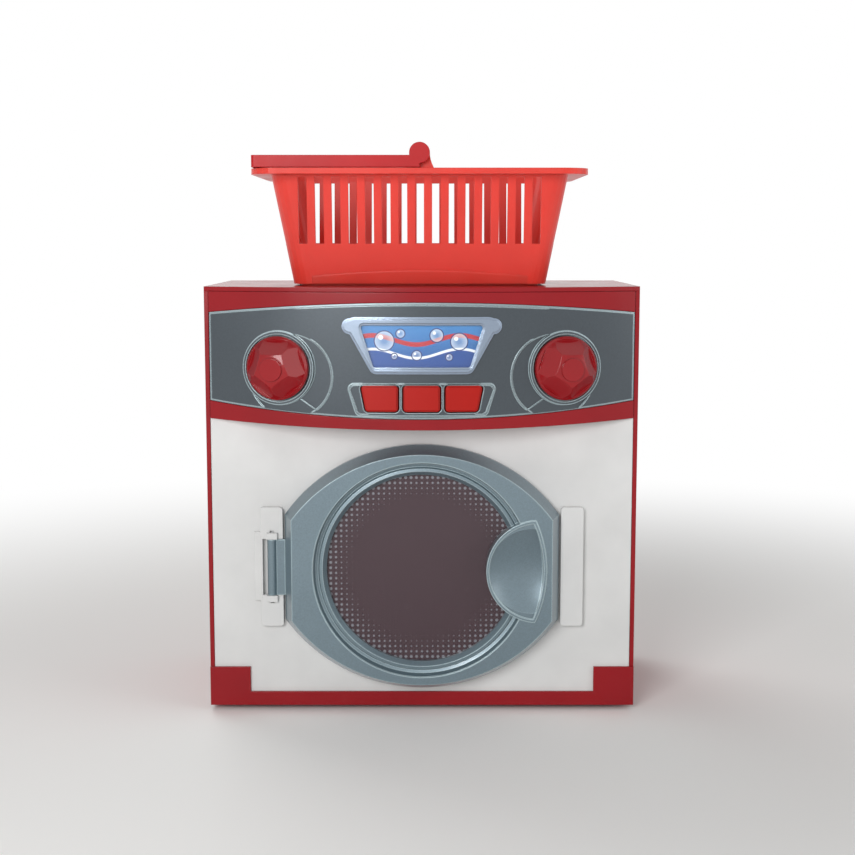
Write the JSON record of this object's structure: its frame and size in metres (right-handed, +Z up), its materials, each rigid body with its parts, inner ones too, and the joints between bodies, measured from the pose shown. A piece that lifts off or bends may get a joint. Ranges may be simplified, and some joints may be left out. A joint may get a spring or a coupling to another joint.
{
  "type": "toy washing machine",
  "caption": "Front-loading toy washing machine with a round-window door, turning drum, control knobs and push buttons, and a handled laundry basket on its top.",
  "frame": {"origin": "centre of the whole toy's bounding box, seen from above, on the surface that the feet stand on", "axes": "+Z up, -Y out of the front with the door, +X to the right as seen from the front"},
  "size_m": [0.2, 0.1232, 0.2649],
  "materials": {
    "red_shell": "satin",
    "slate_metallic": "metallic satin",
    "white_shell": "satin",
    "foot_rubber": "matte",
    "screw_steel": "polished zinc plate",
    "knob_red": "glossy",
    "button_red": "glossy",
    "silver_plastic": "silver paint",
    "label_print": "printed and varnished",
    "clear_plastic": "clear",
    "window_plastic": "clear with a printed dot grid",
    "board_laminate": "solder mask",
    "part_plastic": "matte",
    "pad_rubber": "matte",
    "speaker_paper": "matte",
    "cloth_black": "woven",
    "tub_plastic": "matte",
    "seal_rubber": "matte",
    "bush_brass": "turned",
    "steel": "ground",
    "battery_wrap": "shrink wrap",
    "drum_plastic": "silver paint",
    "gear_acetal": "moulded",
    "basket_red": "slightly translucent"
  },
  "bodies": {
    "housing": {"cabinet": "red_shell", "base": "red_shell", "feet": "foot_rubber", "rear_cover": "red_shell", "rear_screws": "screw_steel", "front_panel": "white_shell", "fascia": "red_shell", "control_panel": "slate_metallic", "display_bezel": "silver_plastic", "display_label": "label_print", "display_lens": "clear_plastic", "circuit_board": "board_laminate", "board_parts": "part_plastic", "key_pads": "pad_rubber", "board_screws": "screw_steel", "speaker": "speaker_paper", "speaker_grille_cloth": "cloth_black", "tub": "tub_plastic", "port_seal": "seal_rubber", "shaft_bushes": "bush_brass", "gear_plate": "tub_plastic", "gear_screws": "screw_steel", "idler_axle": "steel", "motor": "steel", "battery_box": "part_plastic", "batteries": "battery_wrap", "battery_contacts": "screw_steel", "latch_catch": "tub_plastic", "hinge_pin": "steel"},
    "battery_cover": {"battery_cover": "red_shell", "battery_screw": "screw_steel"},
    "knob_left": {"knob_left": "knob_red", "knob_clip_left": "screw_steel"},
    "knob_right": {"knob_right": "knob_red", "knob_clip_right": "screw_steel"},
    "button_left": {"button_left": "button_red"},
    "button_middle": {"button_middle": "button_red"},
    "button_right": {"button_right": "button_red"},
    "door": {"door_frame": "slate_metallic", "door_window": "window_plastic", "window_ring": "slate_metallic", "latch_hook": "slate_metallic"},
    "drum": {"drum": "drum_plastic", "drum_shaft": "steel", "drum_gear": "gear_acetal"},
    "compound_gear": {"compound_gear": "gear_acetal"},
    "motor_pinion": {"motor_pinion": "bush_brass"},
    "basket": {"basket": "basket_red"},
    "basket_handle": {"basket_handle": "basket_red"}
  },
  "joints": [
    {"name": "door_hinge", "type": "hinge", "parent": "housing", "child": "door", "pos_m": [-0.0699, -0.04055, 0.0695], "axis": [0, 0, -1], "range_deg": [0, 110]},
    {"name": "drum_spin", "type": "hinge", "parent": "housing", "child": "drum", "pos_m": [0, -0.01095, 0.0695], "axis": [0, 1, 0], "continuous": true},
    {"name": "compound_gear_spin", "type": "hinge", "parent": "housing", "child": "compound_gear", "pos_m": [0.02553, 0.02355, 0.09503], "axis": [0, 1, 0], "continuous": true},
    {"name": "motor_spin", "type": "hinge", "parent": "housing", "child": "motor_pinion", "pos_m": [0.00379, 0.02555, 0.10758], "axis": [0, 1, 0], "continuous": true},
    {"name": "knob_left_turn", "type": "hinge", "parent": "housing", "child": "knob_left", "pos_m": [-0.065, -0.04877, 0.1635], "axis": [0.2321, 0.9727, 0], "continuous": true},
    {"name": "knob_right_turn", "type": "hinge", "parent": "housing", "child": "knob_right", "pos_m": [0.065, -0.04877, 0.1635], "axis": [-0.2321, 0.9727, 0], "continuous": true},
    {"name": "button_left_press", "type": "slide", "parent": "housing", "child": "button_left", "axis": [0, 1, 0], "range_m": [0, 0.0015], "stiffness_N_per_m": 500},
    {"name": "button_middle_press", "type": "slide", "parent": "housing", "child": "button_middle", "axis": [0, 1, 0], "range_m": [0, 0.0015], "stiffness_N_per_m": 500},
    {"name": "button_right_press", "type": "slide", "parent": "housing", "child": "button_right", "axis": [0, 1, 0], "range_m": [0, 0.0015], "stiffness_N_per_m": 500},
    {"name": "battery_cover_lift", "type": "slide", "parent": "housing", "child": "battery_cover", "axis": [0, 1, 0], "range_m": [0, 0.024]},
    {"name": "basket_lift", "type": "slide", "parent": "housing", "child": "basket", "axis": [0, 0, 1], "range_m": [0, 0.07]},
    {"name": "basket_handle_hinge", "type": "hinge", "parent": "basket", "child": "basket_handle", "pos_m": [-0.001, 0.00805, 0.2602], "axis": [0, 1, 0], "range_deg": [0, 185]}
  ],
  "couplings": [
    {"joint": "compound_gear_spin", "follows": "drum_spin", "ratio": -5},
    {"joint": "motor_spin", "follows": "drum_spin", "ratio": 20}
  ]
}
